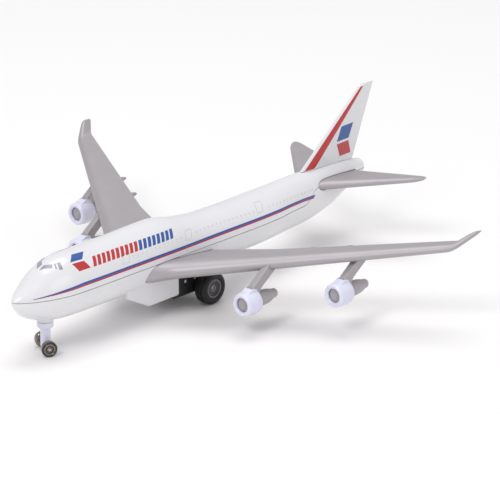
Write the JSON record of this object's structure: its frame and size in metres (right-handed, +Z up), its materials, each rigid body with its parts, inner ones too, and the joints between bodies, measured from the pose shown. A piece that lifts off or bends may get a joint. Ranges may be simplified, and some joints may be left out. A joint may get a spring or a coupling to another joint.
{
  "type": "toy airplane",
  "caption": "Toy airliner with a pull-back motor in its belly, rolling main wheels and a swivelling nose gear.",
  "frame": {"origin": "middle of the bounding box, on the floor under the wheels", "axes": "+X along the wings to the toy's left, -Y to the nose, +Z up"},
  "size_m": [0.2326, 0.226, 0.0703],
  "materials": {
    "white_plastic": "glossy moulded white plastic",
    "cowl_plastic": "glossy bluish white plastic",
    "silver_plastic": "satin silver-grey plastic",
    "tyre_rubber": "black rubber",
    "hub_plastic": "grey moulded plastic",
    "motor_plastic": "black moulded plastic",
    "gear_nylon": "natural nylon",
    "dark_chrome": "dark plated plastic",
    "steel": "bright steel",
    "spring_steel": "blued spring steel"
  },
  "bodies": {
    "airframe": {"fuselage_upper": "white_plastic", "fuselage_lower": "white_plastic", "tail_fin": "white_plastic", "wing": "silver_plastic", "stabilizer": "silver_plastic", "engine_inner_left": "silver_plastic", "engine_inner_right": "silver_plastic", "engine_outer_left": "silver_plastic", "engine_outer_right": "silver_plastic", "cowl_inner_left": "cowl_plastic", "cowl_inner_right": "cowl_plastic", "cowl_outer_left": "cowl_plastic", "cowl_outer_right": "cowl_plastic", "motor_case_left": "motor_plastic", "motor_case_right": "motor_plastic", "mainspring": "spring_steel", "motor_screw_front": "steel", "motor_screw_rear": "steel", "body_screw_front": "steel", "body_screw_rear": "steel"},
    "main_wheels": {"main_axle": "steel", "hub_left": "hub_plastic", "hub_right": "hub_plastic", "tyre_left": "tyre_rubber", "tyre_right": "tyre_rubber", "axle_gear": "gear_nylon"},
    "idler": {"idler_gear": "gear_nylon"},
    "spring_drive": {"spring_gear": "gear_nylon"},
    "nose_gear": {"nose_leg": "cowl_plastic", "nose_leg_screw": "steel", "nose_axle": "steel"},
    "left_nose_wheel": {"nose_wheel_left": "dark_chrome"},
    "right_nose_wheel": {"nose_wheel_right": "dark_chrome"}
  },
  "joints": [
    {"name": "main_wheels_roll", "type": "hinge", "parent": "airframe", "child": "main_wheels", "pos_m": [0, -0.00945, 0.0071], "axis": [1, 0, 0], "continuous": true},
    {"name": "idler_spin", "type": "hinge", "parent": "airframe", "child": "idler", "pos_m": [0, -0.01356, 0.01141], "axis": [1, 0, 0], "continuous": true},
    {"name": "spring_drive_spin", "type": "hinge", "parent": "airframe", "child": "spring_drive", "pos_m": [0, -0.01968, 0.01141], "axis": [1, 0, 0], "continuous": true},
    {"name": "nose_gear_swivel", "type": "hinge", "parent": "airframe", "child": "nose_gear", "pos_m": [0, -0.09535, 0.01], "axis": [0, 0, 1], "continuous": true},
    {"name": "left_nose_wheel_roll", "type": "hinge", "parent": "nose_gear", "child": "left_nose_wheel", "pos_m": [0, -0.09535, 0.00335], "axis": [0.866, -0.5, 0], "continuous": true},
    {"name": "right_nose_wheel_roll", "type": "hinge", "parent": "nose_gear", "child": "right_nose_wheel", "pos_m": [0, -0.09535, 0.00335], "axis": [0.866, -0.5, 0], "continuous": true}
  ],
  "couplings": [
    {"joint": "idler_spin", "follows": "main_wheels_roll", "ratio": -0.30769},
    {"joint": "spring_drive_spin", "follows": "main_wheels_roll", "ratio": 0.091168}
  ]
}
